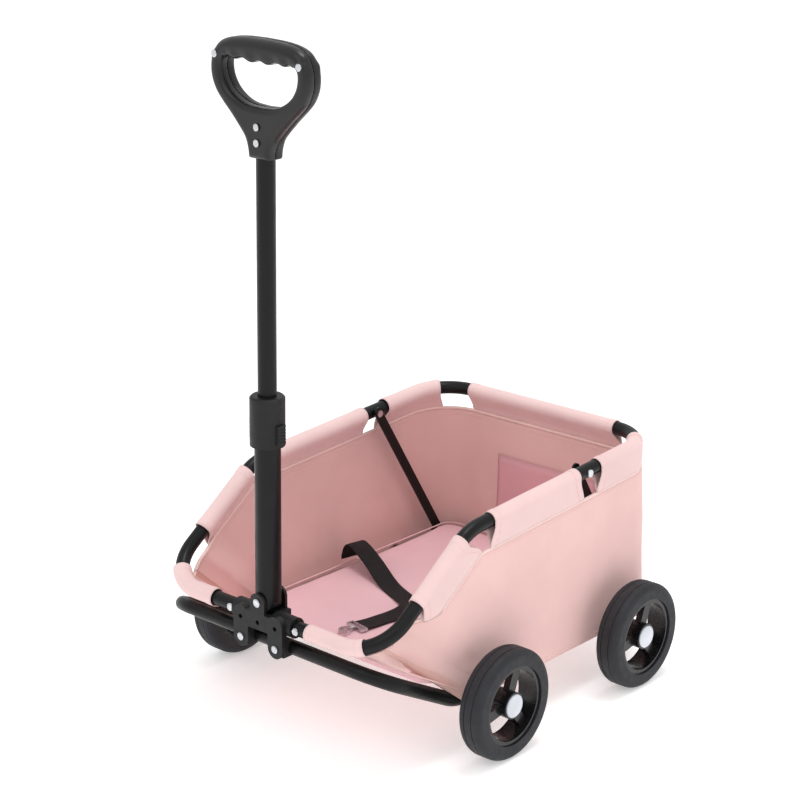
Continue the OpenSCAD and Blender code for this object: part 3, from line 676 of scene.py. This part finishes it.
def make_walls():
    """The side and rear walls as one strip of cloth."""
    uv = np.stack(np.broadcast_arrays(WALL_S[None, :], (WALL_V * 0.18)[:, None]), -1)
    obj = grid_object("tub_walls", WALL, M["wall"], uv)
    thicken(obj, CLOTH_T)
    follow_wall(obj, np.tile(np.repeat(WALL_V, len(WALL_S)), 2))
    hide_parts("left_wall", "right_wall", "rear_wall")
    return obj


WALLS = make_walls()


def sew_to_wall(piece, share=None):
    """Bakes the transform of a piece into its mesh through follow_wall."""
    follow_wall(piece, share)


def corner_share(piece):
    """A share from 0 to 1 for each vertex of a piece at a front corner, rising with its height above the foot."""
    return smooth((np.array([v.co.z for v in piece.data.vertices]) - FOOT_Z) / FOLLOW_HEIGHT)


def wall_strip(j0, j1, v0, v1, lift, name, look):
    """A patch of cloth that lies on the wall between two columns and two heights."""
    v = np.linspace(v0, v1, 10)
    cols = np.arange(j0, j1 + 1)
    grid = np.stack([np.stack([np.interp(v, WALL_V, WALL[:, j, k]) for j in cols], 1) for k in range(3)], -1)
    out = WALL_OUT[0][cols][None]
    uv = np.stack(np.broadcast_arrays(WALL_S[cols][None, :], (v * 0.18)[:, None]), -1)
    obj = grid_object(name, grid + out * lift, look, uv)
    thicken(obj, PATCH_T, offset=0)
    sew_to_wall(obj)
    return grid + out * lift


def seam_row(name, v, lift):
    """A row of stitches all along the wall at the height v, lift away from its surface."""
    line = np.stack([[np.interp(v, WALL_V, WALL[:, j, k]) for k in range(3)] for j in range(len(WALL_S))])
    out = WALL_OUT[0]
    sew_to_wall(stitches(name, line + out * lift, out * np.sign(lift), M["thread"]))


seam_row("top_seam_outside", 0.975, 0.0002)
seam_row("top_seam_inside", 0.955, -0.0014)
seam_row("foot_hem_seam", 0.035, 0.0002)

piping = rod("wall_piping", TOP - WALL_OUT[-1] * 0.0016, 0.0019, M["piping"])
sew_to_wall(piping, np.ones(len(piping.data.vertices)))


# the patch of painted shade inside the rear wall
SHADE_PATCH_HALF, SHADE_PATCH_HEIGHT = 0.080, (0.17, 0.735)  # half its width, and its share of the wall's height


def painted_shade_patch():
    """A darker patch sewn inside the rear wall, from the mat up to a little below the piping; its colour is painted
    shade, for the rear wall being darker inside where less light comes through the cloth.
    """
    middle = len(WALL_S) // 2
    reach = int(np.argmin(np.abs(WALL[0, :middle, 0] - SHADE_PATCH_HALF)))
    # the patch is cloth coloured in painted shade, lying just inside the rear wall
    grid = wall_strip(reach, len(WALL_S) - 1 - reach, *SHADE_PATCH_HEIGHT, -0.0022, "rear_painted_shade_patch", M["painted_shade_patch"])
    for i, edge in enumerate((grid[-1], grid[:, 0], grid[:, -1])):
        line = resample(edge - [0, 0.0012, 0], 0.002)
        sew_to_wall(stitches(f"lining_seam_{i}", line, np.tile([0, -1.0, 0], (len(line), 1)), M["thread"]))


painted_shade_patch()

# ---------- front panel ----------

PANEL_FOOT, PANEL_HEAD = (Y(-22), 0.0712), (Y(-139.5), 0.1405)
PANEL_HALF = 0.1686


def panel_z(y):
    """Height of the panel's slope at y."""
    up = (y - PANEL_FOOT[0]) / (PANEL_HEAD[0] - PANEL_FOOT[0])
    return PANEL_FOOT[1] + up * (PANEL_HEAD[1] - PANEL_FOOT[1])


def panel_edge(x):
    """How far up the panel's slope the cloth goes at x: rounded towards the sides, cut back at the bracket."""
    ax = np.abs(x)
    back = 0.027 * (np.maximum(ax - 0.126, 0) / 0.042) ** 1.6
    back = back + 0.011 * smooth((0.058 - ax) / 0.012)
    return PANEL_HEAD[0] + back


def front_panel():
    """The sloping front cloth, slack between its foot and its piped head."""
    x = np.linspace(-PANEL_HALF, PANEL_HALF, 120)
    v = np.linspace(0, 1, 26)
    y = PANEL_FOOT[0] + (panel_edge(x)[None] - PANEL_FOOT[0]) * v[:, None]
    sag = np.array([[math.sin(math.pi * min(1, b)) * (0.002 + 0.0022 * noise.noise(Vector((a * 16, b * 2.5, 3)))
                     + 0.001 * noise.noise(Vector((a * 50, b * 4, 8)))) * min(1, (PANEL_HALF - abs(a)) / 0.03)
                     for a in x] for b in v])
    grid = np.stack([np.broadcast_to(x, y.shape), y, panel_z(y) - sag], -1)
    uv = np.stack(np.broadcast_arrays(x[None], (v * 0.14)[:, None]), -1)
    obj = grid_object("front_panel_cloth", grid, M["wall"], uv)
    thicken(obj, CLOTH_T, offset=0)
    head = grid[-1] + [0, 0.0022, 0.0010]
    pipe = rod("front_panel_piping", resample(head, 0.003), 0.0011, M["wall"])
    line = resample(grid[-3] + [0, 0, 0.0009], 0.003)
    seam = stitches("front_panel_seam", line, np.tile([0, 0.5, 1.0], (len(line), 1)), M["thread"])
    for p in (obj, pipe, seam):
        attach(p, "base")
    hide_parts("front_panel")


front_panel()


def corner_binding(left):
    """The bound seam between the side wall and the front panel: a folded tape with a row of stitches each side."""
    side = -1 if left else 1
    line = resample(WALL[:, -1 if left else 0], 0.003)
    t = unit(np.gradient(line, axis=0))
    back = unit(np.cross(np.array([side, 0, 0.0]), t)) * side
    back = np.where(back[:, 1:2] < 0, -back, back)
    width = 0.0105
    offs = np.array([-0.0016, -0.0010, 0.0015, 0.005, 0.0085, width - 0.0002, width + 0.0004])
    lift = np.array([-0.0010, 0.0010, 0.0015, 0.0016, 0.0015, 0.0011, 0.0003])
    grid = line[:, None] + back[:, None] * offs[None, :, None] + np.array([side, 0, 0.0]) * lift[None, :, None]
    uv = np.stack(np.broadcast_arrays(offs[None], lengths(line)[:, None]), -1)
    name = "binding_left" if left else "binding_right"
    obj = grid_object(name, grid, M["binding"], uv)
    thicken(obj, PATCH_T, offset=0)
    parts = [obj]
    for k in (2, 4):
        parts.append(stitches(f"{name}_seam_{k}", grid[:, k] + [side * 0.0004, 0, 0],
                              np.tile([side, 0, 0.0], (len(line), 1)), M["thread"]))
    for p in parts:
        sew_to_wall(p, corner_share(p))


GUSSET_START = 0.1  # from the middle of the front to where the gusset starts


def gusset(left):
    """The corner of the front cloth: from the front panel's head up to the rim tube and the side wall's front edge."""
    side = -1 if left else 1
    edge = WALL[:, -1 if left else 0]
    edge = edge if edge[0, 2] > edge[-1, 2] else edge[::-1]
    x = np.linspace(GUSSET_START, PANEL_HALF, 30)
    y = panel_edge(x)
    head = np.stack([side * x, y, panel_z(y) + 0.0006], -1)
    c, _, _, down = rim_frame(np.linspace(GUSSET_START, S_FIRST, 16))
    under = c + down * 0.0094
    under = mirror(under) if left else under
    last = int(np.argmin(np.linalg.norm(edge - head[-1], axis=1)))
    top = np.concatenate([under, edge[:last + 1]])
    along = lengths(top)
    top = np.stack([np.interp(np.linspace(0, along[-1], len(x)), along, top[:, i]) for i in range(3)], -1)
    v = np.linspace(0, 1, 9)[:, None, None]
    grid = head[None] * (1 - v) + top[None] * v
    uv = np.stack(np.broadcast_arrays(x[None], v[:, :, 0] * 0.03), -1)
    obj = grid_object("gusset_left" if left else "gusset_right", grid, M["wall"], uv)
    thicken(obj, 0.001, offset=0)
    share = v[:, :, 0] * smooth((top[None, :, 2] - FOOT_Z) / FOLLOW_HEIGHT)
    sew_to_wall(obj, np.tile(share.ravel(), 2))


for is_left in (False, True):
    corner_binding(is_left)
    gusset(is_left)

# ---------- underside and mat ----------

BOTTOM_HALF, BOTTOM_R = 0.1675, 0.046  # half the underside's width and the radius of its rear corners
MAT_ROOM, MAT_R = 0.0042, 0.016  # room left above the mat for its swelling, radius of its corners
VOXEL, SWELL = 0.0045, 0.0035  # remesh size, and how far a point may swell
PRESSURE, SWELL_FRAMES = 3.5, 18


def floor_sheet():
    """The underside cloth of the tub, laced to the base tube, flat with a faint ripple and rounded rear corners."""
    x = np.linspace(-BOTTOM_HALF, BOTTOM_HALF, 50)
    y = np.linspace(Y(-18), Y(328), 56)
    lo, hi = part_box("tub_bottom")
    gx, gy = np.meshgrid(x, y)
    corner = np.maximum(gy - (y[-1] - BOTTOM_R), 0)
    gx = gx * (1 - (BOTTOM_R - np.sqrt(np.maximum(BOTTOM_R ** 2 - corner ** 2, 0))) / BOTTOM_HALF)
    z = np.full(gx.shape, (lo[2] + hi[2]) / 2)
    ripple = np.array([[0.0003 * noise.noise(Vector((a * 30, b * 30, 2))) for a in x] for b in y])
    obj = grid_object("tub_bottom_cloth", np.stack([gx, gy, z + ripple], -1), M["wall"], np.stack([gx, gy], -1))
    thicken(obj, CLOTH_T, offset=0)
    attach(obj, "base")
    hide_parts("tub_bottom")


floor_sheet()


def mat():
    """The padded floor mat: a flat pad with rounded edges, swelled by a cloth simulation, then piped round its top."""
    lo, hi = (Vector(p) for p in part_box("floor_mat"))
    x0, x1, y0, y1 = lo.x + 0.001, hi.x - 0.001, lo.y + 0.001, hi.y - 0.001
    z0, z1 = lo.z + 0.0002, hi.z - MAT_ROOM
    outline = []
    for cx, cy, a0 in ((x1 - MAT_R, y1 - MAT_R, 0), (x0 + MAT_R, y1 - MAT_R, 90),
                       (x0 + MAT_R, y0 + MAT_R, 180), (x1 - MAT_R, y0 + MAT_R, 270)):
        for k in range(9):
            a = math.radians(a0 + k * 90 / 8)
            outline.append((cx + MAT_R * math.cos(a), cy + MAT_R * math.sin(a)))
    bm = bmesh.new()
    ring = [bm.verts.new((x, y, z0)) for x, y in outline]
    face = bm.faces.new(ring)
    up = bmesh.ops.extrude_face_region(bm, geom=[face])
    for g in up["geom"]:
        if isinstance(g, bmesh.types.BMVert):
            g.co.z = z1
    bmesh.ops.recalc_face_normals(bm, faces=bm.faces)
    data = bpy.data.meshes.new("floor_mat_pad")
    bm.to_mesh(data)
    bm.free()
    obj = bpy.data.objects.new("floor_mat_pad", data)
    bpy.context.scene.collection.objects.link(obj)
    r = obj.modifiers.new("remesh", "REMESH")
    r.mode, r.voxel_size = "VOXEL", VOXEL
    bake(obj)
    rest = np.array([v.co for v in obj.data.vertices])
    c = obj.modifiers.new("swell", "CLOTH")
    c.settings.quality = 5
    c.settings.mass = 0.15
    c.settings.use_pressure = True
    c.settings.uniform_pressure_force = PRESSURE
    c.settings.tension_stiffness = c.settings.compression_stiffness = 25
    c.settings.effector_weights.gravity = 0
    scene = bpy.context.scene
    c.point_cache.frame_start, c.point_cache.frame_end = 1, 20
    for f in range(1, SWELL_FRAMES + 1):
        scene.frame_set(f)
    bake(obj)
    scene.frame_set(1)
    now = np.array([v.co for v in obj.data.vertices])
    if len(now) != len(rest):
        now = rest
    move = now - rest
    far = np.linalg.norm(move, axis=1, keepdims=True)
    now = rest + move * np.minimum(1, SWELL / np.maximum(far, 1e-9))
    for i, p in enumerate(now):
        high = smooth((rest[i][2] - z0) / (z1 - z0))
        edge = min(x1 - p[0], p[0] - x0, y1 - p[1], p[1] - y0)
        soft = (0.0013 * noise.noise(Vector((p[0] * 13, p[1] * 13, 5)))
                + 0.0006 * noise.noise(Vector((p[0] * 37, p[1] * 37, 1))))
        now[i][2] = min(now[i][2], hi.z - 0.0008) + float(high) * soft * float(smooth(edge / 0.03))
        now[i][2] = min(max(now[i][2], z0), hi.z - 0.0003)
    now[:, 0] = np.clip(now[:, 0], lo.x + 0.0003, hi.x - 0.0003)
    now[:, 1] = np.clip(now[:, 1], lo.y + 0.0003, hi.y + 0.002)
    obj.data.vertices.foreach_set("co", now.astype(np.float32).ravel())
    put_uvs(obj.data, now[:, :2])
    obj.data.materials.clear()
    obj.data.materials.append(M["mat"])
    obj.data.shade_smooth()
    s = obj.modifiers.new("smooth", "SUBSURF")
    s.levels = s.render_levels = 1
    bake(obj)
    loop = np.array([(x * 0.996, y, z1 + 0.0008) for x, y in outline + outline[:1]])
    loop = resample(loop, 0.003)
    pipe = rod("floor_mat_piping", loop, 0.0010, M["mat"], end=False)
    for p in (obj, pipe):
        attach(p, "base")
    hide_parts("floor_mat")


mat()

# ---------- leash ----------

STRAP = np.array([
    [-144, 46.5, 96.5], [-143, 46.3, 105], [-139.5, 45.8, 113.5], [-132, 44.4, 118.6],
    [-120, 40.8, 117.6], [-106, 36, 114], [-92, 31, 109.6], [-77, 25, 104.6],
    [-62, 18.6, 99.6], [-48, 12.8, 96.3], [-36, 8, 95.2],
    [-20, 1.5, 95.2], [-5, -5, 95.8], [8, -12, 97.5], [15, -23, 98.5], [16, -36, 97.5],
    [13, -50, 95.8], [10, -64, 95.2], [8, -80, 95.6], [5.4, -94.8, 96.6]]) / 1000


def curve_through(points, per=8):
    """Smooth line through points (Catmull-Rom)."""
    p = np.concatenate([[2 * points[0] - points[1]], points, [2 * points[-1] - points[-2]]])
    out = []
    for i in range(1, len(p) - 2):
        for k in range(per):
            t = k / per
            out.append(0.5 * (2 * p[i] + (p[i + 1] - p[i - 1]) * t
                              + (2 * p[i - 1] - 5 * p[i] + 4 * p[i + 1] - p[i + 2]) * t * t
                              + (3 * p[i] - p[i - 1] - 3 * p[i + 1] + p[i + 2]) * t ** 3))
    out.append(p[-2])
    return np.array(out)


WEB_HALF, WEB_HALF_T = 0.0125, 0.0008  # half the webbing's width and thickness
SEW_IN = 0.0095  # from the webbing's middle to its stitches


def leash():
    """The flat leash from the mat's edge to the hook, sewn back on itself at the hook."""
    line = curve_through(STRAP)
    t = unit(np.gradient(line, axis=0))
    side = unit(np.stack([t[:, 1], -t[:, 0], np.zeros(len(t))], 1))
    for _ in range(6):
        side = unit(np.concatenate([side[:1], (side[:-2] + side[1:-1] + side[2:]) / 3, side[-1:]]))
    n = unit(np.cross(side, t))
    n = np.where(n[:, 2:] < -0.3, -n, n)
    w, h = WEB_HALF, WEB_HALF_T
    section = [(-w, 0), (-w + 0.0004, h * 0.8), (-w + 0.0012, h), (-w * 0.5, h), (0, h), (w * 0.5, h),
               (w - 0.0012, h), (w - 0.0004, h * 0.8), (w, 0), (w - 0.0004, -h * 0.8), (w - 0.0012, -h),
               (w * 0.5, -h), (0, -h), (-w * 0.5, -h), (-w + 0.0012, -h), (-w + 0.0004, -h * 0.8)]
    grid = np.stack([line + side * a + n * b for a, b in section], 1)
    s = lengths(line)
    uv = np.stack(np.broadcast_arrays(np.array([a for a, _ in section])[None], s[:, None]), -1)
    obj = grid_object("leash_webbing", grid, M["webbing"], uv, closed=True, capped=True)
    rows = []
    last = s > s[-1] - 0.022
    for i, k in enumerate((-SEW_IN, SEW_IN)):
        rows.append((f"leash_seam_{i}", (line + side * k + n * h)[last], n[last]))
    cross = int(np.searchsorted(s, s[-1] - 0.020))
    ends = np.linspace(-SEW_IN, SEW_IN, 12)
    for i, c in enumerate((cross, len(s) - 4)):
        rows.append((f"leash_cross_{i}", line[c] + side[c] * ends[:, None] + n[c] * h, np.tile(n[c], (12, 1))))
    parts = []
    for name, path, up in rows:
        parts.append(stitches(name, path, up, M["webbing_thread"], pitch=0.0026, length=0.0019, radius=0.0003))
    for p in (obj, *parts):
        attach(p, "base")
    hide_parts("leash_strap")


leash()

# ---------- grip ----------

LEAN, HINGE = math.radians(1.1), (Y(-149), 0.172)  # the handle leans about its hinge
NET_STEP, SEAM_GAP, SEAM_BEVEL = 0.00125, 0.00018, 0.0004


def lean(points):
    """From the upright handle's place to its leaning one."""
    p = np.array(points, float)
    x, z = p[..., 0].copy(), p[..., 2] - HINGE[1]
    p[..., 0] = x * math.cos(LEAN) + z * math.sin(LEAN)
    p[..., 2] = -x * math.sin(LEAN) + z * math.cos(LEAN) + HINGE[1]
    p[..., 1] += HINGE[0]
    return p


GRIP_OUTER = [(0, 0.7695), (0.025, 0.7688), (0.045, 0.7662), (0.058, 0.7605), (0.0655, 0.7500), (0.0683, 0.7370),
              (0.0668, 0.7240), (0.0610, 0.7120), (0.0520, 0.7020), (0.0400, 0.6910), (0.0290, 0.6800),
              (0.0205, 0.6705), (0.0162, 0.6625), (0.0146, 0.6560), (0.0143, 0.6500)]
GRIP_HOLE = [(0, 0.7455), (0.030, 0.7465), (0.044, 0.7475), (0.0505, 0.7455), (0.0530, 0.7380), (0.0510, 0.7270),
             (0.0440, 0.7165), (0.0330, 0.7085), (0.0190, 0.7035), (0, 0.7020)]


def profile(half):
    """Closed smooth outline from its right half, listed from the top middle to the bottom."""
    half = np.array([(x, 0, z) for x, z in half])
    line = curve_through(half, per=10)[:, [0, 2]]
    other = (line * [-1, 1])[::-1]
    return np.concatenate([line, other[1:-1] if line[-1, 0] < 1e-6 else other[:-1]])


def outline_distance(x, z, line):
    """Signed distance of points to a closed outline, below zero inside."""
    a, b = line, np.roll(line, -1, axis=0)
    best = np.full(x.shape, 1e9)
    inside = np.zeros(x.shape, bool)
    for (ax, az), (bx, bz) in zip(a, b):
        dx, dz = bx - ax, bz - az
        t = np.clip(((x - ax) * dx + (z - az) * dz) / max(dx * dx + dz * dz, 1e-12), 0, 1)
        best = np.minimum(best, np.hypot(x - ax - t * dx, z - az - t * dz))
        if az != bz:
            inside ^= ((az > z) != (bz > z)) & (x < (bx - ax) * (z - az) / (bz - az) + ax)
    return np.where(inside, -best, best)


def surface_net(field, origin, step):
    """Quad mesh of the zero level of a field on a regular grid, one vertex in each cell that it crosses."""
    neg = field < 0
    shape = np.array(field.shape) - 1
    corner = [(i, j, k) for i in (0, 1) for j in (0, 1) for k in (0, 1)]
    value = np.stack([field[i:i + shape[0], j:j + shape[1], k:k + shape[2]] for i, j, k in corner])
    sign = value < 0
    cells = sign.any(0) & ~sign.all(0)
    index = np.full(cells.shape, -1)
    index[cells] = np.arange(cells.sum())
    at = np.argwhere(cells).astype(float)
    v = value[:, cells]
    total, count = np.zeros((len(at), 3)), np.zeros(len(at))
    for p in range(8):
        for q in range(p + 1, 8):
            cp, cq = np.array(corner[p]), np.array(corner[q])
            if abs(cp - cq).sum() != 1:
                continue
            crossing = (v[p] < 0) != (v[q] < 0)
            t = np.where(crossing, v[p] / np.where(crossing, v[p] - v[q], 1), 0)
            total += np.where(crossing[:, None], cp + (cq - cp) * t[:, None], 0)
            count += crossing
    points = origin + (at + total / count[:, None]) * step
    faces = []
    for axis in range(3):
        lo = [slice(None)] * 3
        hi = [slice(None)] * 3
        lo[axis], hi[axis] = slice(0, -1), slice(1, None)
        change = neg[tuple(lo)] != neg[tuple(hi)]
        first = neg[tuple(lo)]
        u, w = (axis + 1) % 3, (axis + 2) % 3
        for cell in np.argwhere(change):
            if cell[u] == 0 or cell[w] == 0 or cell[u] > shape[u] - 1 or cell[w] > shape[w] - 1:
                continue
            q = []
            for du, dw in ((-1, -1), (0, -1), (0, 0), (-1, 0)):
                c = cell.copy()
                c[u] += du
                c[w] += dw
                q.append(index[tuple(c)])
            if min(q) < 0:
                continue
            faces.append(q if first[tuple(cell)] else q[::-1])
    return points, faces


def grip():
    """The D-shaped grip in two moulded halves, with four finger hollows under its bar."""
    x = np.arange(-0.0715, 0.0716, NET_STEP)
    z = np.arange(0.6455, 0.7745, NET_STEP)
    gx, gz = np.meshgrid(x, z, indexing="ij")
    hole = profile(GRIP_HOLE)
    upper = (hole[:, 1] > 0.7445) & (np.abs(hole[:, 0]) < 0.0485)
    wave = 0.0017 * (1 - np.cos(2 * math.pi * hole[:, 0] / 0.0235 + math.pi))
    hole[:, 1] += np.where(upper, wave * smooth((0.047 - np.abs(hole[:, 0])) / 0.006) - 0.0012, 0)
    outer = outline_distance(gx, gz, profile(GRIP_OUTER))
    opening = outline_distance(gx, gz, hole)
    flat = np.maximum(outer, -opening)
    y = np.arange(-0.0165, 0.0166, NET_STEP)
    deep = 0.0128 + 0.0010 * smooth((gz - 0.742) / 0.008) - 0.0006
    radius = 0.0062 + 0.0034 * smooth((gz - 0.749) / 0.006) - 0.0016 * smooth((0.672 - gz) / 0.012)
    d2 = flat[:, None, :] + radius[:, None, :]
    for side, name in ((-1, "front"), (1, "rear")):
        w = np.abs(y)[None, :, None] - deep[:, None, :] + radius[:, None, :]
        field = np.hypot(np.maximum(d2, 0), np.maximum(w, 0)) - radius[:, None, :] + np.minimum(np.maximum(d2, w), 0)
        cut = SEAM_GAP - side * y[None, :, None]
        chamfer = (field + cut + SEAM_BEVEL) * 0.7071
        field = np.maximum(np.maximum(field, cut), chamfer)
        field = np.ascontiguousarray(np.broadcast_to(field, (len(x), len(y), len(z))))
        points, faces = surface_net(field, np.array([x[0], y[0], z[0]]), NET_STEP)
        obj = mesh_object(f"grip_{name}_shell", lean(points), faces, M["grip"])
        s = obj.modifiers.new("relax", "SMOOTH")
        s.factor, s.iterations = 0.5, 3
        bake(obj)
        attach(obj, "pole_upper")
        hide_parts(f"grip_{name}")


grip()

# ---------- studio ----------

def studio():
    """A pale floor, an even white sky and three soft lights."""
    scene = bpy.context.scene
    n = Nodes("studio_floor", Roughness=0.9, Specular_IOR_Level=0.1, Base_Color=(0.93, 0.93, 0.93, 1),
              Emission_Color=(1, 1, 1, 1), Emission_Strength=0.36)
    corners = [(-20, -20, 0), (20, -20, 0), (20, 20, 0), (-20, 20, 0)]
    mesh_object("studio_floor", corners, [(0, 1, 2, 3)], n.mat)
    world = bpy.data.worlds.new("studio")
    world.use_nodes = True
    world.node_tree.nodes["Background"].inputs["Color"].default_value = (1, 1, 1, 1)
    world.node_tree.nodes["Background"].inputs["Strength"].default_value = 0.86
    scene.world = world
    target = Vector((0, 0, 0.2))
    for name, place, size, power in (
            ("key", (0.2, -1.9, 2.4), 1.3, 7),
            ("fill", (2.2, -0.6, 1.6), 1.2, 3),
            ("top", (0.3, 0.3, 2.8), 1.0, 20)):
        light = bpy.data.lights.new(name, "AREA")
        light.size, light.energy = size, power
        obj = bpy.data.objects.new(name, light)
        scene.collection.objects.link(obj)
        obj.location = place
        obj.rotation_euler = (Vector(place) - target).to_track_quat("Z", "Y").to_euler()
    scene.view_settings.view_transform = "Standard"


studio()
